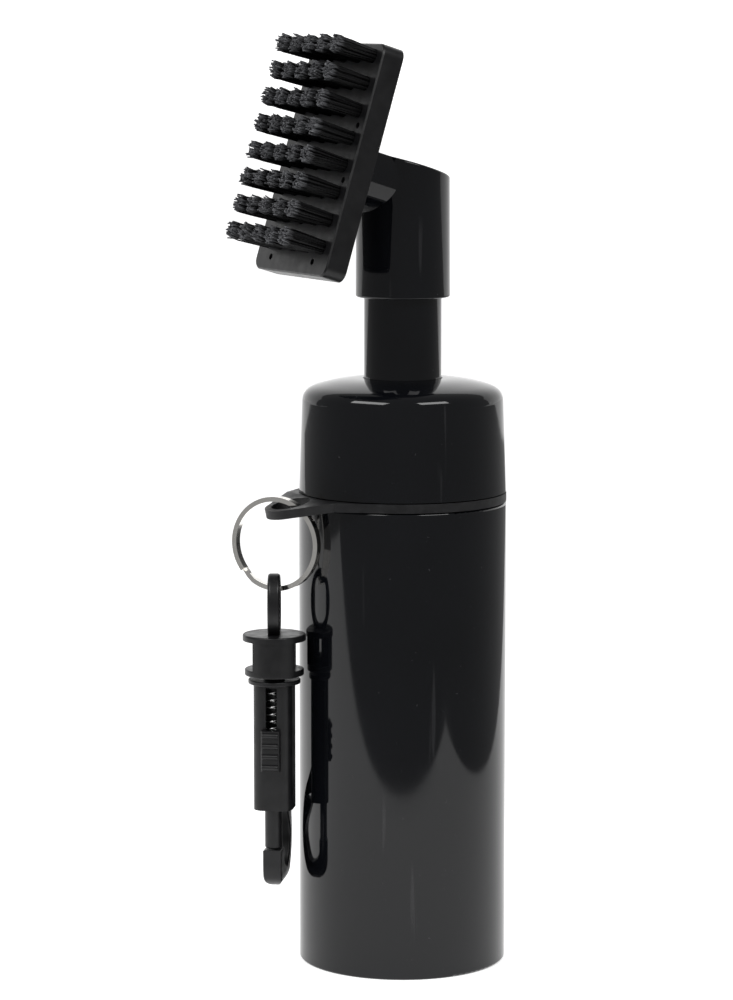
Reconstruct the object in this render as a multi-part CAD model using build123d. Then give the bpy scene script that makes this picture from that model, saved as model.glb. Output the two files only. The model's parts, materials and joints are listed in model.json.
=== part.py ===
from build123d import *
import os
from math import cos, radians, sin, sqrt

# Golf club groove brush with its own water bottle. Millimetres, +Z up.
# The origin is the centre of the bottle's flat foot, and the brush faces -X.
# Pressing the head down slides the hollow stem into the cap and opens a valve,
# so that water runs through the stem and out between the nylon tufts.

# ---------------------------------------------------------------- sizes: bottle
BODY_R = 21.0
BOTTLE_WALL = 1.5
FLOOR_T = 2.0
FOOT_ROUND = 0.5
SHOULDER_Z = 94.2
NECK_R = 16.6
MOUTH_R = 15.0
NECK_TOP_Z = 106.6
THREAD_PITCH = 4.0
THREAD_TURNS = 1.25
THREAD_Z = 98.2
THREAD_DEPTH = 1.0
THREAD_OVERLAP = 0.1
CREST_HALF = 0.5
ROOT_HALF = 1.0

# ---------------------------------------------------------------- sizes: hanger
HANGER_Z = 94.3
HANGER_T = 1.8
HANGER_BORE_R = 17.9
TAB_TIP_R = 4.9
TAB_TIP_X = 26.0
TAB_HOLE_R = 3.9
TAB_HOLE_X = 25.6
TAB_DROOP = 12.0

# ---------------------------------------------------------------- sizes: cap
CAP_Z = 96.3
CAP_R = 20.95
CAP_DRAFT = 0.65
CAP_SIDE_TOP_Z = 114.6
CAP_SHOULDER_R = 16.2
CAP_SHOULDER_Z = 118.1
CAP_SHOULDER_SLOPE = 13.9
CAP_TOP_Z = 119.1
CAP_ROOF_Z = 116.1
CAP_UPPER_R = 17.8
CAP_CROWN_R = 15.2
CAP_THREAD_DEPTH = 1.2
CAP_BORE_R = 8.0
CAP_INNER_R = 18.2
SHELF_Z = 108.1
SHELF_T = 1.8
SHELF_R = 14.2
HUB_R = 12.6
HUB_BORE_R = 11.02
HUB_BOTTOM_Z = 109.0
GASKET_R = 17.5
GASKET_BORE_R = 15.2
GASKET_GAP = 0.05

# ---------------------------------------------------------------- sizes: valve
CAGE_R = 11.0
CAGE_BORE_R = 9.9
CAGE_TOP_Z = 112.0
CAGE_FLOOR_Z = 86.5
CAGE_FLOOR_T = 2.0
CAGE_WINDOW = (5.0, 9.0)
CAGE_WINDOW_Z = 98.5
CAGE_WINDOW_DEPTH = 5.0
GUIDE_BORE_R = 7.86
GUIDE_BOTTOM_Z = 107.0
GUIDE_TOP_Z = 116.05
GUIDE_WEB_R = 9.0
SEAL_Z = 112.6
SEAL_WIRE = 0.72
SEAT_R = 6.0
SEAT_BORE_R = 3.4
SEAT_FLARE = 1.1
SEAT_STEP = 0.2
PLUG_R = 4.6
PLUG_H = 4.2
PLUG_GAP = 0.1
PLUG_FOOT_R = 2.4
PLUG_TAPER_H = 1.6
PLUG_NOSE_H = 0.8
PLUG_NOSE_GAP = 0.3
PLUG_FLOOR_T = 0.5
ROD_R = 1.5
SPIDER_T = 2.5
SPIDER_HOLE_R = 1.4
SPIDER_HOLE_X = 3.6
SPRING_WIRE = 1.0
SPRING_MEAN_R = 8.3
SPRING_TURNS = 6.5
SPRING_GAP = 0.05

# ---------------------------------------------------------------- sizes: stem and elbow
STEM_R = 7.8
STEM_BORE_R = 5.6
STEM_TOP_Z = 150.0
STEM_FLANGE_R = 9.3
STEM_FLANGE_T = 1.6
FLANGE_GAP = 0.1
SLEEVE_Z = 135.5
SLEEVE_BOTTOM_R = 9.5
SLEEVE_TOP_R = 9.35
SLEEVE_CUT_Z = 162.05
SLEEVE_CUT_SLOPE = 16.7
SLEEVE_BORE_R = 5.6
SLEEVE_BORE_TOP_Z = 158.0
SLEEVE_HEIGHT = 36.0
RIM_ROUND = 0.5
MOUTH_ROUND = 0.4
PRESS_GAP = 0.02
BRANCH_R = 7.8
BRANCH_LENGTH = 14.0
BRANCH_BORE_R = 3.0
BRANCH_BORE_DEPTH = 18.0
COLLAR_R = 7.2
COLLAR_T = 1.0

# ---------------------------------------------------------------- sizes: brush head
HEAD_TILT = 17.0
HEAD_X = -14.7
HEAD_Z = 162.35
PLATE_L = 47.0
PLATE_W = 30.5
PLATE_T = 4.6
PLATE_CORNER_R = 2.2
PLATE_RIM = 1.0
PLATE_CHAMFER = 0.3
INNER_CORNER_R = 0.8
POCKET_DEPTH = 1.9
COVER_T = 1.0
COVER_GAP = 0.1
SPIGOT_LENGTH = 8.0
SPIGOT_R = 2.95
GROOVE_GAP = 0.05
SPIGOT_BORE_R = 1.6
SPIGOT_SEAL_WIRE = 0.3
TUFT_ROWS = 8
TUFT_COLUMNS = 5
ROW_PITCH = 5.52
COLUMN_PITCH = 5.7
FIRST_ROW_Y = 20.9
TUFT_ROOT_R = 1.4
TUFT_TIP_R = 2.0
TUFT_HOLE_R = 1.45
TUFT_HOLE_DEPTH = 2.2
TUFT_TIP_HEIGHT = 14.0
ANCHOR = (2.6, 0.5, 0.4)
OUTLET_R = 0.65
OUTLETS = [(8.5, 21.8), (8.9, -20.8), (12.6, 6.9), (12.6, -4.1)]

# ---------------------------------------------------------------- sizes: split ring
RING_X = -27.35
RING_Y = 2.7
RING_Z = 86.9
RING_TURN = -53.3
RING_MEAN_R = 9.0
RING_BAND = 0.95
RING_COIL_T = 0.85
RING_COIL_STEP = 0.88
RING_STEP_ANGLE = 10.0
RING_END_ANGLE = 228.0

# ---------------------------------------------------------------- sizes: snap hook
HOOK_X = -27.65
HOOK_Y = 3.1
EYE_TURN = -29.0
HOOK_TURN = -37.0
EYE_TOP_Z = 80.8
EYE_HALF_W = 4.85
EYE_HALF_H = 6.6
EYE_THICK = 2.5
EYE_ROUND = 0.6
EYE_HOLE_R = 3.0
EYE_HOLE_TOP_Z = 79.2
EYE_HOLE_BOTTOM_Z = 69.4
DISC_R = 6.35
DISC_Z = 67.4
DISC_T = 1.25
DISC_ROUND = 0.35
WALL_OUTER_R = 6.0
WALL_INNER_R = 4.5
WALL_WIDTH = 8.45
FLANGE_R = 5.95
FLANGE_Z = 60.3
FLANGE_T = 1.3
FLANGE_ROUND = 0.25
POST_R = 2.1
POST_HEAD_R = 3.3
POST_HEAD_T = 1.3
POST_GAP = 0.08
COLLAR_HOOK_R = 5.25
COLLAR_HOOK_Z = 58.6
COLLAR_HOOK_T = 0.9
COLLAR_ROUND = 0.2
BARREL_W = 7.85
BARREL_ROUND = 2.2
BARREL_Z = 33.1
BOLT_Y = -1.6
BOLT_R = 1.72
BOLT_BORE_R = 1.8
BOLT_BOTTOM_Z = 25.2
BOLT_TOP_Z = 47.0
BOLT_CHAMFER = 0.25
BORE_TOP_Z = 57.6
SLOT_W = 2.26
SLOT_BOTTOM_Z = 43.2
SLOT_TOP_Z = 58.2
THUMB_W = 3.87
THUMB_Z = (41.4, 49.6)
THUMB_T = 1.3
THUMB_NECK_W = 2.1
THUMB_NECK_Z = (43.8, 46.6)
THUMB_GAP = 0.1
THUMB_ROUND = 0.5
THUMB_GRIP = 0.5
RIDGE_PITCH = 2.15
RIDGE_COUNT = 4
RIDGE_R = 0.55
RIDGE_LENGTH = 3.27
GATE_SPRING_R = 1.25
GATE_SPRING_WIRE = 0.35
GATE_SPRING_TURNS = 7
HOOK_WIDTH = 3.8
HOOK_ROUND = 0.4
HOOK_BOTTOM_Z = 16.85
HOOK_BOTTOM_RISE = 2.8

os.makedirs("parts", exist_ok=True)


# ---------------------------------------------------------------- helpers
def save(shape, node):
    """Write one node as its own STEP file."""
    export_step(shape, f"parts/{node}.step")


def spin(points):
    """Solid of revolution about Z from (radius, height) corner points."""
    return revolve(Plane.XZ * make_face(Polyline(*points, close=True)), Axis.Z)


def rod(radius, low, high):
    """Cylinder on the Z axis between two heights."""
    return Pos(0, 0, (low + high) / 2) * Cylinder(radius, high - low)


def tube(outer, inner, low, high):
    """Hollow cylinder on the Z axis between two heights."""
    return rod(outer, low, high) - rod(inner, low - 1, high + 1)


def thread_ridge(root_r, crest_r, low):
    """Helical ridge whose flanks run from root_r to crest_r, starting at height low."""
    height = THREAD_PITCH * THREAD_TURNS
    mean_r = (root_r + crest_r) / 2
    path = Pos(0, 0, low) * Helix(pitch=THREAD_PITCH, height=height, radius=mean_r)
    section = Polyline(
        (root_r, 0, low - ROOT_HALF),
        (crest_r, 0, low - CREST_HALF),
        (crest_r, 0, low + CREST_HALF),
        (root_r, 0, low + ROOT_HALF),
        close=True,
    )
    return sweep(make_face(section), path=path, is_frenet=True)


def coil(mean_r, wire, low, high, turns):
    """Round-wire compression spring on the Z axis; low and high are its outer ends."""
    start, end = low + wire / 2, high - wire / 2
    path = Pos(0, 0, start) * Helix(pitch=(end - start) / turns, height=end - start, radius=mean_r)
    section = Plane(origin=path @ 0, z_dir=path % 0) * Circle(wire / 2)
    return sweep(section, path=path, is_frenet=True)


def o_ring(mean_r, wire_r, z):
    """Round sealing ring on the Z axis."""
    return Pos(0, 0, z) * Torus(mean_r, wire_r)


# ---------------------------------------------------------------- bottle and hanger
def make_bottle():
    """Hollow bottle with a thread ridge round its neck."""
    inner_r = BODY_R - BOTTLE_WALL
    inner_top = SHOULDER_Z - BOTTLE_WALL
    shell = spin([
        (0, 0), (BODY_R, 0), (BODY_R, SHOULDER_Z), (NECK_R, SHOULDER_Z),
        (NECK_R, NECK_TOP_Z), (MOUTH_R, NECK_TOP_Z), (MOUTH_R, inner_top),
        (inner_r, inner_top - (inner_r - MOUTH_R) / 2), (inner_r, FLOOR_T), (0, FLOOR_T),
    ])
    outer_edges = shell.edges().filter_by(GeomType.CIRCLE)
    foot = [e for e in outer_edges if e.radius == BODY_R and e.center().Z < 1]
    shoulder = [e for e in outer_edges if e.radius == BODY_R and e.center().Z > 1]
    shell = fillet(foot + shoulder, FOOT_ROUND)
    ridge = thread_ridge(NECK_R - THREAD_OVERLAP, NECK_R + THREAD_DEPTH, THREAD_Z)
    return shell + ridge


def tab_outline():
    """Outer circle and tip circle joined by their common tangents."""
    lean = (BODY_R - TAB_TIP_R) / TAB_TIP_X
    rise = sqrt(1 - lean ** 2)
    wedge = Polygon(
        (-BODY_R * lean, BODY_R * rise), (-TAB_TIP_X - TAB_TIP_R * lean, TAB_TIP_R * rise),
        (-TAB_TIP_X - TAB_TIP_R * lean, -TAB_TIP_R * rise), (-BODY_R * lean, -BODY_R * rise),
        align=None,
    )
    return Circle(BODY_R) + wedge + Pos(-TAB_TIP_X, 0) * Circle(TAB_TIP_R)


def make_hanger_ring():
    """Flat rubber ring round the neck, with a drooping tab that holds the split ring."""
    hole = Pos(-TAB_HOLE_X, 0) * Circle(TAB_HOLE_R)
    flat = extrude(tab_outline() - hole, HANGER_T)
    outside = Pos(-BODY_R - 50, 0, 0) * Box(100, 100, 20)
    ring = Pos(0, 0, HANGER_Z) * (flat - outside) - rod(HANGER_BORE_R, 0, 200)
    fold = Pos(-BODY_R, 0, HANGER_Z + HANGER_T) * Rot(0, -TAB_DROOP, 0) * Pos(BODY_R, 0, -HANGER_T)
    tab = fold * (flat & outside)
    return ring + tab


# ---------------------------------------------------------------- cap and valve
def make_cap():
    """Domed screw cap with an inner shelf for the gasket and a hub for the stem guide."""
    side_r = CAP_R - CAP_DRAFT
    shoulder = (CAP_SHOULDER_R, CAP_SHOULDER_Z)
    lean = radians(CAP_SHOULDER_SLOPE)
    slopes = [(-CAP_DRAFT, CAP_SIDE_TOP_Z - CAP_Z), (-cos(lean), sin(lean))]
    crown = Spline((side_r, CAP_SIDE_TOP_Z), shoulder, tangents=slopes)
    crown += TangentArc(shoulder, (CAP_BORE_R, CAP_TOP_Z), tangent=slopes[1])
    rest = Polyline(
        (CAP_BORE_R, CAP_TOP_Z), (0, CAP_TOP_Z), (0, CAP_Z), (CAP_R, CAP_Z), (side_r, CAP_SIDE_TOP_Z))
    outer = Plane.XZ * make_face(crown + rest)
    body = revolve(outer, Axis.Z)
    body -= rod(CAP_INNER_R, CAP_Z - 1, SHELF_Z)
    body -= rod(SHELF_R, SHELF_Z - 1, SHELF_Z + SHELF_T + 1)
    body -= rod(CAP_UPPER_R, SHELF_Z + SHELF_T, CAP_SIDE_TOP_Z)
    body -= rod(CAP_CROWN_R, CAP_SIDE_TOP_Z - 1, CAP_ROOF_Z)
    body += tube(HUB_R, HUB_BORE_R, HUB_BOTTOM_Z, CAP_ROOF_Z + 0.5)
    body -= rod(CAP_BORE_R, 0, 200)
    ridge_z = THREAD_Z + THREAD_PITCH / 2
    ridge = thread_ridge(CAP_INNER_R + THREAD_OVERLAP, CAP_INNER_R - CAP_THREAD_DEPTH, ridge_z)
    return body + ridge


def make_cap_gasket():
    """Flat rubber washer between the bottle's mouth and the cap's shelf."""
    return tube(GASKET_R, GASKET_BORE_R, NECK_TOP_Z + GASKET_GAP, SHELF_Z - GASKET_GAP)


def make_stem_guide():
    """Bush that the stem slides in, pressed into the cap's hub and the spring cage."""
    guide = tube(CAGE_BORE_R - PRESS_GAP, GUIDE_BORE_R, GUIDE_BOTTOM_Z, CAGE_TOP_Z)
    head = tube(HUB_BORE_R - PRESS_GAP, GUIDE_BORE_R, CAGE_TOP_Z + PRESS_GAP, GUIDE_TOP_Z)
    groove = rod(GUIDE_BORE_R + 2 * SEAL_WIRE, SEAL_Z, SEAL_Z + 2 * SEAL_WIRE + 0.1)
    web = tube(GUIDE_WEB_R, GUIDE_BORE_R, CAGE_TOP_Z - 1, CAGE_TOP_Z + 1)
    return guide + head + web - groove


def make_stem_seal():
    """Sealing ring in the guide's groove, touching the stem."""
    return o_ring(GUIDE_BORE_R - PRESS_GAP + SEAL_WIRE, SEAL_WIRE, SEAL_Z + SEAL_WIRE + 0.05)


def make_spring_cage():
    """Cup with four water windows, which carries the spring and the valve seat."""
    floor_low = CAGE_FLOOR_Z - CAGE_FLOOR_T
    cage = rod(CAGE_R, floor_low, CAGE_TOP_Z) - rod(CAGE_BORE_R, CAGE_FLOOR_Z, CAGE_TOP_Z + 1)
    cage -= rod(SEAT_R, floor_low - 1, CAGE_FLOOR_Z + 1)
    width, height = CAGE_WINDOW
    window = Pos(CAGE_R, 0, CAGE_WINDOW_Z) * Box(2 * CAGE_WINDOW_DEPTH, width, height)
    for turn in (0, 90, 180, 270):
        cage -= Rot(0, 0, turn) * window
    return cage


def make_valve_seat():
    """Rubber seat in the cage's floor, flared below to meet the plug."""
    low = CAGE_FLOOR_Z - CAGE_FLOOR_T
    seat = tube(SEAT_R - PRESS_GAP, SEAT_BORE_R, low, CAGE_FLOOR_Z - SEAT_STEP)
    cone = Pos(0, 0, low + CAGE_FLOOR_T / 2) * Cone(SEAT_BORE_R + SEAT_FLARE, SEAT_BORE_R, CAGE_FLOOR_T)
    return seat - cone


def make_return_spring():
    """Spring between the cage's floor and the stem's flange, which lifts the head again."""
    flange_low = GUIDE_BOTTOM_Z - FLANGE_GAP - STEM_FLANGE_T
    low, high = CAGE_FLOOR_Z + SPRING_GAP, flange_low - SPRING_GAP
    return coil(SPRING_MEAN_R, SPRING_WIRE, low, high, SPRING_TURNS)


# ---------------------------------------------------------------- stem and valve plug
def make_stem_tube():
    """Hollow stem with a flange at its foot that stops it under the guide."""
    flange_top = GUIDE_BOTTOM_Z - FLANGE_GAP
    stem = rod(STEM_R, flange_top - STEM_FLANGE_T, STEM_TOP_Z)
    stem += rod(STEM_FLANGE_R, flange_top - STEM_FLANGE_T, flange_top)
    return stem - rod(STEM_BORE_R, 0, 200)


def make_valve_rod():
    """Spider pressed into the foot of the stem, with the rod that carries the plug."""
    low = GUIDE_BOTTOM_Z - FLANGE_GAP - STEM_FLANGE_T
    spider = rod(STEM_BORE_R - PRESS_GAP, low, low + SPIDER_T)
    hole = Pos(SPIDER_HOLE_X, 0, low + 1) * Cylinder(SPIDER_HOLE_R, 3 * SPIDER_T)
    for turn in (0, 120, 240):
        spider -= Rot(0, 0, turn) * hole
    plug_low = CAGE_FLOOR_Z - CAGE_FLOOR_T - PLUG_GAP - PLUG_H
    return spider + rod(ROD_R, plug_low + PLUG_FLOOR_T, low + 1)


def make_valve_plug():
    """Rubber plug drawn up against the seat; it drops clear when the head is pressed."""
    top = CAGE_FLOOR_Z - CAGE_FLOOR_T - PLUG_GAP
    nose_r, nose_z = SEAT_BORE_R - PLUG_NOSE_GAP, top + PLUG_NOSE_H
    plug = spin([
        (0, top - PLUG_H), (PLUG_FOOT_R, top - PLUG_H), (PLUG_R, top - PLUG_TAPER_H),
        (PLUG_R, top), (nose_r, nose_z), (0, nose_z),
    ])
    return plug - rod(ROD_R + PRESS_GAP, top - PLUG_H + PLUG_FLOOR_T, top + 5)


# ---------------------------------------------------------------- elbow and brush head
def head_frame():
    """Local Z points out through the tufts, local Y up the plate, Z = 0 on its back."""
    tilt = radians(HEAD_TILT)
    return Plane(origin=(HEAD_X, 0, HEAD_Z), x_dir=(0, -1, 0), z_dir=(-cos(tilt), 0, sin(tilt)))


def above_elbow():
    """Block of space above the elbow's slanted flat top."""
    block = Pos(0, 0, 25) * Box(90, 60, 50)
    return Pos(0, 0, SLEEVE_CUT_Z) * Rot(0, SLEEVE_CUT_SLOPE, 0) * block


def make_head_sleeve():
    """Elbow with a slanted flat top, which grips the stem and turns the water forward."""
    middle_z = SLEEVE_Z + SLEEVE_HEIGHT / 2
    sleeve = Pos(0, 0, middle_z) * Cone(SLEEVE_BOTTOM_R, SLEEVE_TOP_R, SLEEVE_HEIGHT) - above_elbow()
    sleeve = fillet(sleeve.faces().sort_by(Axis.Z)[-1].edges(), RIM_ROUND)
    branch = Pos(0, 0, -COLLAR_T - BRANCH_LENGTH / 2) * Cylinder(BRANCH_R, BRANCH_LENGTH)
    branch = head_frame() * branch - above_elbow()
    sides = branch.faces().sort_by(Axis.Z)[-1].edges().sort_by(Axis.Y)
    solid = sleeve + fillet([sides[0], sides[-1]], RIM_ROUND)
    mouth = solid.edges().filter_by(GeomType.CIRCLE).sort_by(Axis.Z)[0]
    solid = fillet(mouth, MOUTH_ROUND)
    solid -= rod(STEM_R + PRESS_GAP, SLEEVE_Z - 1, STEM_TOP_Z + 0.1)
    solid -= rod(SLEEVE_BORE_R, SLEEVE_Z, SLEEVE_BORE_TOP_Z)
    return solid - head_frame() * rod(BRANCH_BORE_R, -BRANCH_BORE_DEPTH, 0)


def plate_outline(margin):
    """Rounded rectangle of the brush plate, drawn in by a margin on every side."""
    corner = max(PLATE_CORNER_R - margin, INNER_CORNER_R)
    return RectangleRounded(PLATE_W - 2 * margin, PLATE_L - 2 * margin, corner)


def tuft_spots(row):
    """Local centres of one row's tufts."""
    y = FIRST_ROW_Y - ROW_PITCH * row
    middle = (TUFT_COLUMNS - 1) / 2
    return [((column - middle) * COLUMN_PITCH, y) for column in range(TUFT_COLUMNS)]


def make_brush_plate():
    """Block that holds the tufts, with a shallow water chamber in its back."""
    block = extrude(plate_outline(0), PLATE_T)
    block = chamfer(block.edges().group_by(Axis.Z)[-1], PLATE_CHAMFER)
    block -= extrude(plate_outline(PLATE_RIM), POCKET_DEPTH)
    hole = Cylinder(TUFT_HOLE_R, 2 * TUFT_HOLE_DEPTH)
    for row in range(TUFT_ROWS):
        for x, y in tuft_spots(row):
            block -= Pos(x, y, PLATE_T) * hole
    for x, y in OUTLETS:
        for side in (-1, 1):
            block -= Pos(side * x, y, PLATE_T / 2) * Cylinder(OUTLET_R, 2 * PLATE_T)
    return head_frame() * block


def make_plate_cover():
    """Back cover of the water chamber, with the spigot that plugs into the elbow."""
    spigot_end = -COLLAR_T - SPIGOT_LENGTH
    groove_z = -COLLAR_T - SPIGOT_LENGTH / 2
    half_groove = SPIGOT_SEAL_WIRE + GROOVE_GAP
    sheet = extrude(plate_outline(PLATE_RIM + COVER_GAP), COVER_T)
    spigot = rod(SPIGOT_R, spigot_end, COVER_T)
    groove_floor = SPIGOT_R - 2 * SPIGOT_SEAL_WIRE
    spigot -= tube(SPIGOT_R + 1, groove_floor, groove_z - half_groove, groove_z + half_groove)
    collar = head_frame() * rod(COLLAR_R, -COLLAR_T, 0.1) - above_elbow()
    bore = rod(SPIGOT_BORE_R, spigot_end - 1, COVER_T + 1)
    return head_frame() * (sheet + spigot) + collar - head_frame() * bore


def make_spigot_seal():
    """Sealing ring in the spigot's groove."""
    mean_r = SPIGOT_R - SPIGOT_SEAL_WIRE + PRESS_GAP
    return head_frame() * o_ring(mean_r, SPIGOT_SEAL_WIRE, -COLLAR_T - SPIGOT_LENGTH / 2)


def make_tuft_row(row):
    """One row of nylon tufts, each spreading slightly towards its tip."""
    root_low = PLATE_T - TUFT_HOLE_DEPTH + ANCHOR[2] + 0.05
    root = rod(TUFT_ROOT_R, root_low, PLATE_T)
    free = TUFT_TIP_HEIGHT - PLATE_T
    flare = Pos(0, 0, PLATE_T + free / 2) * Cone(TUFT_ROOT_R, TUFT_TIP_R, free)
    tuft = root + flare
    return head_frame() * Compound(children=[Pos(x, y, 0) * tuft for x, y in tuft_spots(row)])


def make_tuft_anchors():
    """Flat wire anchor at the bottom of each tuft hole."""
    length, width, height = ANCHOR
    z = PLATE_T - TUFT_HOLE_DEPTH + height / 2
    spots = [spot for row in range(TUFT_ROWS) for spot in tuft_spots(row)]
    bars = [Pos(x, y, z) * Box(length, width, height) for x, y in spots]
    return head_frame() * Compound(children=bars)


# ---------------------------------------------------------------- split ring
def ring_section(angle, height):
    """Wire section of the split ring, standing at an angle round the ring's own axis."""
    out = Vector(cos(radians(angle)), sin(radians(angle)), 0)
    along = Vector(-out.Y, out.X, 0)
    middle = out * RING_MEAN_R + Vector(0, 0, height)
    return Plane(origin=middle, x_dir=out, z_dir=along) * Rectangle(RING_BAND, RING_COIL_T)


def make_split_ring():
    """Two flat coils of wire joined by one short step, as on a key ring."""
    low, high = -RING_COIL_STEP / 2, RING_COIL_STEP / 2
    sweep_angle = 360 - 2 * RING_STEP_ANGLE
    lower = revolve(ring_section(RING_STEP_ANGLE, low), Axis.Z, sweep_angle)
    upper = revolve(ring_section(RING_STEP_ANGLE, high), Axis.Z, sweep_angle)
    step = loft([
        ring_section(-RING_STEP_ANGLE, low), ring_section(0, 0), ring_section(RING_STEP_ANGLE, high),
    ], ruled=True)
    standing = Rot(0, 0, RING_TURN) * Rot(90, 0, 0) * Rot(0, 0, RING_END_ANGLE)
    return Pos(RING_X, RING_Y, RING_Z) * standing * (lower + step + upper)


# ---------------------------------------------------------------- snap hook
def place_hook(shape, turn):
    """Move a hook part from its own axis to where it hangs; its front is local -Y."""
    return Pos(HOOK_X, HOOK_Y, 0) * Rot(0, 0, turn) * shape


def edges_beside(shape, distance):
    """Edges that lie on either flat side, at the given distance from the YZ plane."""
    return [e for e in shape.edges() if abs(abs(e.center().X) - distance) < 0.01]


def make_swivel_eye():
    """Eye loop moulded with the windowed frame that the hook's post turns in."""
    side = Plane.YZ
    loop_z = EYE_TOP_Z - EYE_HALF_H
    loop = extrude(side * Pos(0, loop_z) * Ellipse(EYE_HALF_W, EYE_HALF_H), EYE_THICK / 2, both=True)
    hole_h = EYE_HOLE_TOP_Z - EYE_HOLE_BOTTOM_Z
    hole_mid = (EYE_HOLE_TOP_Z + EYE_HOLE_BOTTOM_Z) / 2
    hole = side * Pos(0, hole_mid) * Rot(0, 0, 90) * SlotOverall(hole_h, 2 * EYE_HOLE_R)
    loop -= extrude(hole, EYE_THICK, both=True)
    loop = fillet(edges_beside(loop, EYE_THICK / 2), EYE_ROUND)
    loop -= rod(20, DISC_Z - 20, DISC_Z + DISC_T / 2)
    disc = rod(DISC_R, DISC_Z, DISC_Z + DISC_T)
    disc = fillet(disc.edges().filter_by(GeomType.CIRCLE).sort_by(Axis.Z)[-1], DISC_ROUND)
    flange_top = FLANGE_Z + FLANGE_T
    walls = tube(WALL_OUTER_R, WALL_INNER_R, flange_top - 0.2, DISC_Z + 0.2)
    walls &= Pos(0, 0, (flange_top + DISC_Z) / 2) * Box(WALL_WIDTH, 30, 30)
    flange = tube(FLANGE_R, POST_R + POST_GAP, FLANGE_Z, flange_top)
    rims = [e for e in flange.edges().filter_by(GeomType.CIRCLE) if e.radius > FLANGE_R - 0.01]
    flange = fillet(rims, FLANGE_ROUND)
    return place_hook(loop + disc + walls + flange, EYE_TURN)


def hook_profile():
    """Side outline of the hook's spine, bend and nose: local Y to the back, Z up."""
    outer = Spline(
        (3.7, 41.5), (6.9, 36.0), (9.5, 28.5), (8.6, 21.6), (3.6, 16.9), (-1.6, 17.8), (-3.55, 21.6),
        tangents=[(0.25, -1), (0, 1)],
    )
    nose = Polyline((-3.55, 21.6), (-3.55, 24.95), (0.35, 24.95), (0.35, 23.2))
    inner = Spline(
        (0.35, 23.2), (1.4, 21.1), (4.0, 20.4), (6.6, 23.0), (7.1, 28.0), (5.0, 33.2), (2.2, 35.2),
        tangents=[(0, -1), (-1, 0.3)],
    )
    back = Polyline((2.2, 35.2), (2.2, 41.5), (3.7, 41.5))
    return Plane.YZ * make_face(outer + nose + inner + back)


def hook_front():
    """Front outline of the bend: straight sides with a round bottom."""
    middle_z = HOOK_BOTTOM_Z + HOOK_BOTTOM_RISE
    height = BARREL_Z - middle_z + 20
    sides = Pos(0, middle_z + height / 2) * Rectangle(HOOK_WIDTH, height)
    bottom = Pos(0, middle_z) * Ellipse(HOOK_WIDTH / 2, HOOK_BOTTOM_RISE)
    return Plane.XZ * (sides + bottom)


def make_hook_body():
    """Barrel with its spring slot, the turning post on top and the open hook below."""
    outline = RectangleRounded(BARREL_W, BARREL_W, BARREL_ROUND)
    barrel = extrude(Pos(0, 0, BARREL_Z) * outline, COLLAR_HOOK_Z + 0.1 - BARREL_Z)
    collar = rod(COLLAR_HOOK_R, COLLAR_HOOK_Z, COLLAR_HOOK_Z + COLLAR_HOOK_T)
    collar = fillet(collar.edges().filter_by(GeomType.CIRCLE), COLLAR_ROUND)
    head_z = FLANGE_Z + FLANGE_T + 2 * POST_GAP
    post = rod(POST_R, COLLAR_HOOK_Z, head_z + 0.1) + rod(POST_HEAD_R, head_z, head_z + POST_HEAD_T)
    nose = extrude(hook_profile(), HOOK_WIDTH / 2, both=True)
    nose = fillet(edges_beside(nose, HOOK_WIDTH / 2), HOOK_ROUND)
    nose &= extrude(hook_front(), 2 * BARREL_W, both=True)
    body = barrel + collar + post + nose
    body -= Pos(0, BOLT_Y, 0) * rod(BOLT_BORE_R, BARREL_Z - 1, BORE_TOP_Z)
    slot_h = SLOT_TOP_Z - SLOT_BOTTOM_Z
    slot_z = (SLOT_TOP_Z + SLOT_BOTTOM_Z) / 2
    body -= Pos(0, BOLT_Y - 3, slot_z) * Box(SLOT_W, 6, slot_h)
    return place_hook(body, HOOK_TURN)


def make_gate_bolt():
    """Sliding bolt that closes the hook's opening."""
    bolt = rod(BOLT_R, BOLT_BOTTOM_Z, BOLT_TOP_Z)
    bolt = chamfer(bolt.edges().filter_by(GeomType.CIRCLE), BOLT_CHAMFER)
    return place_hook(Pos(0, BOLT_Y, 0) * bolt, HOOK_TURN)


def make_thumb_slide():
    """Ridged thumb piece whose neck runs in the slot and grips the bolt."""
    low, high = THUMB_Z
    back_y = -BARREL_W / 2 - THUMB_GAP
    pad = Pos(0, back_y - THUMB_T / 2, (low + high) / 2) * Box(THUMB_W, THUMB_T, high - low)
    pad = fillet(pad.edges().filter_by(Axis.Z).sort_by(Axis.Y)[:2], THUMB_ROUND)
    first = (low + high) / 2 - RIDGE_PITCH * (RIDGE_COUNT - 1) / 2
    ridge = Rot(0, 90, 0) * Cylinder(RIDGE_R, RIDGE_LENGTH)
    for i in range(RIDGE_COUNT):
        pad += Pos(0, back_y - THUMB_T, first + RIDGE_PITCH * i) * ridge
    neck_low, neck_high = THUMB_NECK_Z
    neck_back = BOLT_Y - BOLT_R + THUMB_GRIP
    neck_depth = neck_back - (back_y - 0.2)
    neck = Pos(0, neck_back - neck_depth / 2, (neck_low + neck_high) / 2) * Box(
        THUMB_NECK_W, neck_depth, neck_high - neck_low)
    slide = pad + neck - Pos(0, BOLT_Y, 0) * rod(BOLT_R + PRESS_GAP, low - 1, high + 1)
    return place_hook(slide, HOOK_TURN)


def make_gate_spring():
    """Spring in the barrel's bore that pushes the bolt shut."""
    low, high = BOLT_TOP_Z + SPRING_GAP, BORE_TOP_Z - SPRING_GAP
    spring = coil(GATE_SPRING_R, GATE_SPRING_WIRE, low, high, GATE_SPRING_TURNS)
    return place_hook(Pos(0, BOLT_Y, 0) * spring, HOOK_TURN)


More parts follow.
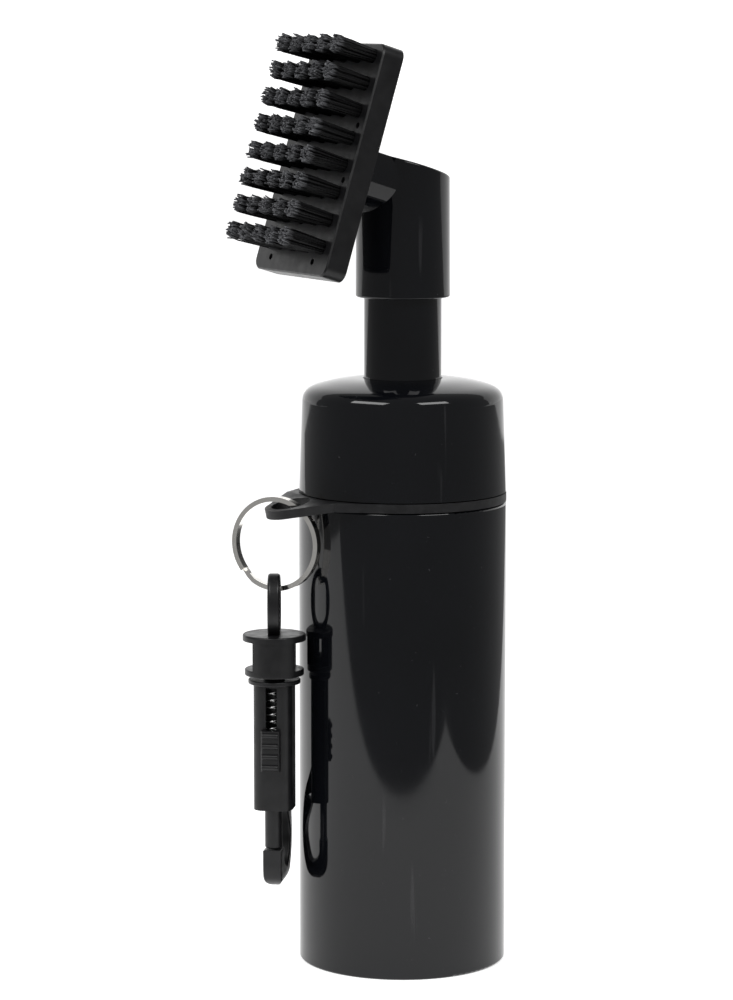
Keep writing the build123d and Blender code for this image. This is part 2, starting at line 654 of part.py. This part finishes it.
# ---------------------------------------------------------------- write the nodes
save(make_bottle(), "bottle")
save(make_hanger_ring(), "hanger_ring")
save(make_cap(), "cap")
save(make_cap_gasket(), "cap_gasket")
save(make_stem_guide(), "stem_guide")
save(make_stem_seal(), "stem_seal")
save(make_spring_cage(), "spring_cage")
save(make_valve_seat(), "valve_seat")
save(make_return_spring(), "return_spring")
save(make_stem_tube(), "stem_tube")
save(make_valve_rod(), "valve_rod")
save(make_valve_plug(), "valve_plug")
save(make_head_sleeve(), "head_sleeve")
save(make_brush_plate(), "brush_plate")
save(make_plate_cover(), "plate_cover")
save(make_spigot_seal(), "spigot_seal")
for row in range(TUFT_ROWS):
    save(make_tuft_row(row), f"tuft_row_{row + 1}")
save(make_tuft_anchors(), "tuft_anchors")
save(make_split_ring(), "split_ring")
save(make_swivel_eye(), "swivel_eye")
save(make_hook_body(), "hook_body")
save(make_gate_bolt(), "gate_bolt")
save(make_thumb_slide(), "thumb_slide")
save(make_gate_spring(), "gate_spring")
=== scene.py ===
import json
import math
import random

import bpy
from mathutils import Matrix, Vector


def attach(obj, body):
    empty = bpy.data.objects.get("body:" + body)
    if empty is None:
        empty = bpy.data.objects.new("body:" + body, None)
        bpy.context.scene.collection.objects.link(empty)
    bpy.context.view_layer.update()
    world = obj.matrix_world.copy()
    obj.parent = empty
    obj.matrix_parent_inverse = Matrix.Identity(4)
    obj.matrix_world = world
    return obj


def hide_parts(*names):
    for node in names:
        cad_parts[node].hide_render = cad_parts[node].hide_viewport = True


# Looks of the club groove brush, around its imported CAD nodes. Metres, in the CAD frame.
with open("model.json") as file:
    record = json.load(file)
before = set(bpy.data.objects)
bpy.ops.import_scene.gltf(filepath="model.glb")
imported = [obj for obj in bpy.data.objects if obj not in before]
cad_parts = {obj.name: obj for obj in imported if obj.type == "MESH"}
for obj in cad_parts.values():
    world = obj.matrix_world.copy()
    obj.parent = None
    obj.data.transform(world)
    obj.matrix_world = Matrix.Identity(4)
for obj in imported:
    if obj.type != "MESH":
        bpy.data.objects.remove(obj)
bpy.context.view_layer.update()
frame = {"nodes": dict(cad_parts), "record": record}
MM = 0.001

# ---------------------------------------------------------------- sizes
HEAD_TILT = math.radians(17.0)      # the same head frame as in the CAD source
HEAD_ORIGIN = Vector((-14.7, 0.0, 162.35)) * MM
HEAD_OUT = Vector((-math.cos(HEAD_TILT), 0.0, math.sin(HEAD_TILT)))
PLATE_T = 4.6 * MM
TUFT_ROWS = 8
TUFT_COLUMNS = 5
ROW_PITCH = 5.52 * MM
COLUMN_PITCH = 5.7 * MM
FIRST_ROW_Y = 20.9 * MM
TUFT_ROOT_R = 1.38 * MM
TUFT_TIP_R = 2.0 * MM
TUFT_TIP_HEIGHT = 13.95 * MM
ROOT_DEPTH = 1.5 * MM

FILAMENTS = 84
FILAMENT_R = 0.14 * MM
FILAMENT_SIDES = 4
FILAMENT_STEPS = 9
FILAMENT_SHORTER = 0.9 * MM
CRIMP = 0.22 * MM
CRIMP_START = 0.62
CRIMP_WAVES = 3.6
FILAMENT_WANDER = 0.12
SHORTER_BIAS = 1.4
SEED = 11
GREY_START = 12.0 * MM

CAMERA_AZIMUTH = math.radians(-29.0)
CAMERA_DISTANCE = 737.3 * MM
CAMERA_HEIGHT = 193.0 * MM
CAMERA_TILT_DOWN = math.radians(7.63)
CAMERA_AIM_LEFT = math.radians(0.567)
CAMERA_LENS = 132.3
CAMERA_SENSOR = 36.0

SHEET_HALF = 16.0
SHEET_BACK = 8.0
TABLE_FRONT = 195 * MM
TABLE_RIGHT = 210 * MM
TABLE_LEFT = 620 * MM
TABLE_BACK = 950 * MM
BACKDROP_HEIGHT = 8.0
FLOOR_WHITE = 0.82
FLOOR_GLOW = 0.68
WORLD_STRENGTH = 0.28
SOFTBOX_AIM = Vector((0.0, 0.0, 0.1))

MIX_FIRST, MIX_SECOND, MIX_RESULT = 6, 7, 2      # the colour sockets of a Mix node

TOWARDS_CAMERA = Vector((math.sin(CAMERA_AZIMUTH), -math.cos(CAMERA_AZIMUTH), 0.0))
TOWARDS_RIGHT = Vector((math.cos(CAMERA_AZIMUTH), math.sin(CAMERA_AZIMUTH), 0.0))


# ---------------------------------------------------------------- material helpers
class Surface:
    """One procedural material, built up a layer at a time on a Principled shader."""

    def __init__(self, name, roughness, metallic=0.0, specular=0.5):
        self.material = bpy.data.materials.new(name)
        self.material.use_nodes = True
        self.tree = self.material.node_tree
        self.shader = self.tree.nodes["Principled BSDF"]
        self.shader.inputs["Roughness"].default_value = roughness
        self.shader.inputs["Metallic"].default_value = metallic
        self.shader.inputs["Specular IOR Level"].default_value = specular
        self.normal = None

    def node(self, kind, **inputs):
        """New node, with the given inputs set."""
        made = self.tree.nodes.new(kind)
        for name, value in inputs.items():
            made.inputs[name].default_value = value
        return made

    def link(self, source, target):
        self.tree.links.new(source, target)

    def place(self, stretch=(1, 1, 1)):
        """Object coordinates, which stay with the piece as it moves."""
        coords = self.node("ShaderNodeTexCoord")
        mapping = self.node("ShaderNodeMapping", Scale=stretch)
        self.link(coords.outputs["Object"], mapping.inputs["Vector"])
        return mapping.outputs["Vector"]

    def noise(self, scale, detail=3.0, stretch=(1, 1, 1)):
        """Noise fixed to the piece; scale is in lumps per metre."""
        noise = self.node("ShaderNodeTexNoise", Scale=scale, Detail=detail)
        self.link(self.place(stretch), noise.inputs["Vector"])
        return noise.outputs["Fac"]

    def spread(self, value, low, high, start=0.35, end=0.65):
        """Map a noise value onto a range."""
        ranged = self.node("ShaderNodeMapRange")
        ranged.inputs["From Min"].default_value = start
        ranged.inputs["From Max"].default_value = end
        ranged.inputs["To Min"].default_value = low
        ranged.inputs["To Max"].default_value = high
        self.link(value, ranged.inputs["Value"])
        return ranged.outputs["Result"]

    def blend(self, factor, first, second):
        """Mix two colours, each a tuple or another node's output."""
        mix = self.node("ShaderNodeMix")
        mix.data_type = "RGBA"
        self.link(factor, mix.inputs["Factor"])
        for socket, colour in ((mix.inputs[MIX_FIRST], first), (mix.inputs[MIX_SECOND], second)):
            if isinstance(colour, tuple):
                socket.default_value = (*colour, 1.0)
            else:
                self.link(colour, socket)
        return mix.outputs[MIX_RESULT]

    def colour(self, source):
        self.link(source, self.shader.inputs["Base Color"])

    def mottle(self, dark, light, scale):
        """Base colour that drifts between two shades."""
        self.colour(self.blend(self.spread(self.noise(scale), 0.0, 1.0), dark, light))

    def roughness(self, low, high, scale, stretch=(1, 1, 1)):
        """Roughness that drifts between two values."""
        value = self.spread(self.noise(scale, 4.0, stretch), low, high)
        self.link(value, self.shader.inputs["Roughness"])

    def bump(self, scale, depth, stretch=(1, 1, 1), detail=2.0):
        """Add one layer of relief, on top of any that is already there."""
        layer = self.node("ShaderNodeBump", Strength=1.0, Distance=depth)
        self.link(self.noise(scale, detail, stretch), layer.inputs["Height"])
        if self.normal is not None:
            self.link(self.normal, layer.inputs["Normal"])
        self.normal = layer.outputs["Normal"]
        self.link(self.normal, self.shader.inputs["Normal"])


# ---------------------------------------------------------------- materials
def gloss_black():
    """Polished moulded plastic, with slow waves in it, faint dust and hairline scratches."""
    made = Surface("gloss_black", 0.05, specular=0.36)
    cloud = made.spread(made.noise(40), 0.0, 1.0)
    base = made.blend(cloud, (0.0020, 0.0023, 0.0032), (0.0030, 0.0034, 0.0046))
    dust = made.spread(made.noise(1500, 2.0), 0.0, 0.35, 0.74, 0.80)
    scratch = made.spread(made.noise(420, 2.0, (1.0, 1.0, 0.06)), 0.0, 0.10, 0.70, 0.76)
    dusty = made.blend(dust, base, (0.10, 0.10, 0.105))
    made.colour(made.blend(scratch, dusty, (0.12, 0.12, 0.125)))
    made.roughness(0.035, 0.085, 55)
    made.bump(22, 0.05 * MM, (1.0, 1.0, 0.5))
    return made.material


def satin_black(name, dark, light, low, high, grain):
    """Satin or matt moulded plastic with a fine grain."""
    made = Surface(name, (low + high) / 2, specular=0.34)
    made.mottle(dark, light, 300)
    made.roughness(low, high, 500)
    made.bump(1800, grain)
    return made.material


def black_rubber(name):
    """Matt black rubber."""
    made = Surface(name, 0.45, specular=0.34)
    made.mottle((0.0045, 0.0045, 0.005), (0.008, 0.008, 0.009), 700)
    made.roughness(0.36, 0.54, 400)
    made.bump(1500, 0.012 * MM)
    return made.material


def natural_plastic():
    """Uncoloured moulded plastic of the hidden valve parts."""
    made = Surface("white_acetal", 0.35)
    made.mottle((0.70, 0.70, 0.66), (0.78, 0.78, 0.75), 250)
    made.roughness(0.28, 0.42, 300)
    made.bump(900, 0.01 * MM)
    return made.material


def metal(name, dark, light, low, high):
    """Bare or plated metal between two shades and two roughnesses."""
    made = Surface(name, (low + high) / 2, metallic=1.0)
    made.mottle(dark, light, 350)
    made.roughness(low, high, 600)
    made.bump(700, 0.0012 * MM)
    return made.material


def nylon():
    """Black filaments, greyer and drier towards their cut ends."""
    made = Surface("nylon_tuft", 0.6, specular=0.28)
    height = made.node("ShaderNodeVectorMath")
    height.operation = "DOT_PRODUCT"
    made.link(made.place(), height.inputs[0])
    height.inputs[1].default_value = HEAD_OUT
    base = HEAD_ORIGIN.dot(HEAD_OUT)
    tip = made.spread(height.outputs["Value"], 0.0, 1.0, base + GREY_START, base + TUFT_TIP_HEIGHT)
    patchy = made.node("ShaderNodeMath")
    patchy.operation = "MULTIPLY"
    made.link(tip, patchy.inputs[0])
    made.link(made.spread(made.noise(1400), 0.35, 1.0), patchy.inputs[1])
    made.colour(made.blend(patchy.outputs["Value"], (0.0025, 0.0025, 0.003), (0.19, 0.193, 0.205)))
    made.link(made.spread(tip, 0.55, 0.80, 0.0, 1.0), made.shader.inputs["Roughness"])
    return made.material


MATERIALS = {
    "gloss_black": gloss_black(),
    "satin_black": satin_black(
        "satin_black", (0.0042, 0.0042, 0.0048), (0.0075, 0.0075, 0.0082), 0.30, 0.42, 0.006 * MM),
    "black_rubber": black_rubber("black_rubber"),
    "seal_rubber": black_rubber("seal_rubber"),
    "white_acetal": natural_plastic(),
    "spring_steel": metal("spring_steel", (0.42, 0.42, 0.42), (0.56, 0.56, 0.56), 0.22, 0.36),
    "anchor_brass": metal("anchor_brass", (0.60, 0.46, 0.22), (0.72, 0.56, 0.30), 0.28, 0.42),
    "bright_nickel": metal("bright_nickel", (0.90, 0.88, 0.84), (0.94, 0.92, 0.88), 0.06, 0.12),
    "nylon_tuft": nylon(),
}


def paint_nodes():
    """Give every CAD node the material of its slot in the record."""
    slots = {part["node"]: part["material_slot"] for part in frame["record"]["subparts"]}
    for name, node in frame["nodes"].items():
        node.data.materials.clear()
        node.data.materials.append(MATERIALS[slots[name]])


# ---------------------------------------------------------------- nylon tufts
def head_matrix():
    """Local X across the plate, local Y up it and local Z out through the tufts."""
    across = Vector((0.0, -1.0, 0.0))
    up = HEAD_OUT.cross(across)
    turn = Matrix((across, up, HEAD_OUT)).transposed()
    return Matrix.Translation(HEAD_ORIGIN) @ turn.to_4x4()


def filament_line(dice, spot):
    """Centre line of one filament, from inside its hole to its crimped free end."""
    angle = dice.uniform(0, 2 * math.pi)
    reach = math.sqrt(dice.random())
    lean = angle + dice.gauss(0, FILAMENT_WANDER)
    length = TUFT_TIP_HEIGHT - FILAMENT_SHORTER * dice.random() ** SHORTER_BIAS - (PLATE_T - ROOT_DEPTH)
    phase = dice.uniform(0, 2 * math.pi)
    bend = dice.uniform(0, 2 * math.pi)
    line = []
    for step in range(FILAMENT_STEPS + 1):
        t = step / FILAMENT_STEPS
        crimp = CRIMP * max(0.0, (t - CRIMP_START) / (1 - CRIMP_START))
        swing = crimp * math.sin(phase + CRIMP_WAVES * 2 * math.pi * t)
        room = TUFT_ROOT_R + (TUFT_TIP_R - TUFT_ROOT_R) * t - 0.5 * crimp - FILAMENT_R
        radius = reach * room
        turn = angle + (lean - angle) * t
        line.append(Vector((
            spot[0] + radius * math.cos(turn) + swing * math.cos(bend),
            spot[1] + radius * math.sin(turn) + swing * math.sin(bend),
            PLATE_T - ROOT_DEPTH + length * t,
        )))
    return line


def skin_filament(line, points, faces):
    """Wrap a thin closed prism round a centre line."""
    first = len(points)
    for centre in line:
        for side in range(FILAMENT_SIDES):
            angle = 2 * math.pi * side / FILAMENT_SIDES
            points.append(centre + Vector((math.cos(angle), math.sin(angle), 0.0)) * FILAMENT_R)
    for step in range(len(line) - 1):
        low = first + step * FILAMENT_SIDES
        for side in range(FILAMENT_SIDES):
            after = (side + 1) % FILAMENT_SIDES
            above, above_after = low + FILAMENT_SIDES + side, low + FILAMENT_SIDES + after
            faces.append((low + side, low + after, above_after, above))
    top = first + (len(line) - 1) * FILAMENT_SIDES
    faces.append(tuple(top + side for side in range(FILAMENT_SIDES)))
    faces.append(tuple(first + side for side in reversed(range(FILAMENT_SIDES))))


def make_tuft_row(row, dice, place):
    """One row of tufts, each a bundle of separate filaments."""
    points, faces = [], []
    middle = (TUFT_COLUMNS - 1) / 2
    for column in range(TUFT_COLUMNS):
        spot = ((column - middle) * COLUMN_PITCH, FIRST_ROW_Y - ROW_PITCH * row)
        for _ in range(FILAMENTS):
            skin_filament(filament_line(dice, spot), points, faces)
    mesh = bpy.data.meshes.new(f"filaments_row_{row + 1}")
    mesh.from_pydata([place @ p for p in points], [], faces)
    mesh.materials.append(MATERIALS["nylon_tuft"])
    piece = bpy.data.objects.new(mesh.name, mesh)
    bpy.context.scene.collection.objects.link(piece)
    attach(piece, "head")
    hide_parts(f"tuft_row_{row + 1}")


# ---------------------------------------------------------------- studio
def pale_floor():
    """Plain white light table, with a wide white sheet behind it that rises as a backdrop."""
    table = [
        (TABLE_FRONT, -TABLE_LEFT), (TABLE_FRONT, TABLE_RIGHT),
        (-TABLE_BACK, TABLE_RIGHT), (-TABLE_BACK, -TABLE_LEFT),
    ]
    sheet = [
        (-TABLE_BACK, -SHEET_HALF), (-TABLE_BACK, SHEET_HALF),
        (-SHEET_BACK, SHEET_HALF), (-SHEET_BACK, -SHEET_HALF),
    ]
    corners = [TOWARDS_CAMERA * front + TOWARDS_RIGHT * side for front, side in table + sheet]
    corners += [corner + Vector((0.0, 0.0, BACKDROP_HEIGHT)) for corner in corners[-2:]]
    mesh = bpy.data.meshes.new("floor")
    mesh.from_pydata(corners, [], [(0, 1, 2, 3), (4, 5, 6, 7), (7, 6, 8, 9)])
    floor = bpy.data.objects.new("floor", mesh)
    bpy.context.scene.collection.objects.link(floor)
    made = Surface("floor", 0.6)
    made.shader.inputs["Base Color"].default_value = (FLOOR_WHITE, FLOOR_WHITE, FLOOR_WHITE, 1.0)
    made.shader.inputs["Emission Color"].default_value = (1.0, 1.0, 1.0, 1.0)
    made.shader.inputs["Emission Strength"].default_value = FLOOR_GLOW
    made.shader.inputs["Specular IOR Level"].default_value = 0.1
    mesh.materials.append(made.material)


def studio_world():
    """Plain white light from all round."""
    world = bpy.data.worlds.new("studio")
    world.use_nodes = True
    bpy.context.scene.world = world
    background = world.node_tree.nodes["Background"]
    background.inputs["Color"].default_value = (1.0, 1.0, 1.0, 1.0)
    background.inputs["Strength"].default_value = WORLD_STRENGTH


def softbox(name, turn, elevation, distance, width, height, watts):
    """Rectangular lamp aimed at the cap; turn is round the object from the camera's side."""
    angle = math.radians(turn)
    level = TOWARDS_CAMERA * math.cos(angle) + TOWARDS_RIGHT * math.sin(angle)
    rise = math.radians(elevation)
    lamp = bpy.data.lights.new(name, "AREA")
    lamp.shape = "RECTANGLE"
    lamp.size = width
    lamp.size_y = height
    lamp.energy = watts
    holder = bpy.data.objects.new(name, lamp)
    direction = level * math.cos(rise) + Vector((0.0, 0.0, math.sin(rise)))
    holder.location = SOFTBOX_AIM + direction * distance
    holder.rotation_euler = direction.to_track_quat("Z", "Y").to_euler()
    bpy.context.scene.collection.objects.link(holder)


def aim_camera():
    """Camera at the fitted place and angle."""
    data = bpy.data.cameras.new("camera")
    data.sensor_width = CAMERA_SENSOR
    data.lens = CAMERA_LENS
    camera = bpy.data.objects.new("camera", data)
    camera.location = TOWARDS_CAMERA * CAMERA_DISTANCE + Vector((0.0, 0.0, CAMERA_HEIGHT))
    camera.rotation_euler = (math.pi / 2 - CAMERA_TILT_DOWN, 0.0, CAMERA_AZIMUTH + CAMERA_AIM_LEFT)
    bpy.context.scene.collection.objects.link(camera)
    bpy.context.scene.camera = camera


paint_nodes()
dice = random.Random(SEED)
place = head_matrix()
for row in range(TUFT_ROWS):
    make_tuft_row(row, dice, place)
pale_floor()
studio_world()
softbox("left_softbox", turn=-46, elevation=44, distance=0.70, width=0.46, height=0.20, watts=2.3)
softbox("right_softbox", turn=42, elevation=44, distance=0.75, width=0.40, height=0.20, watts=2.0)
aim_camera()
bpy.context.scene.view_settings.view_transform = "Standard"
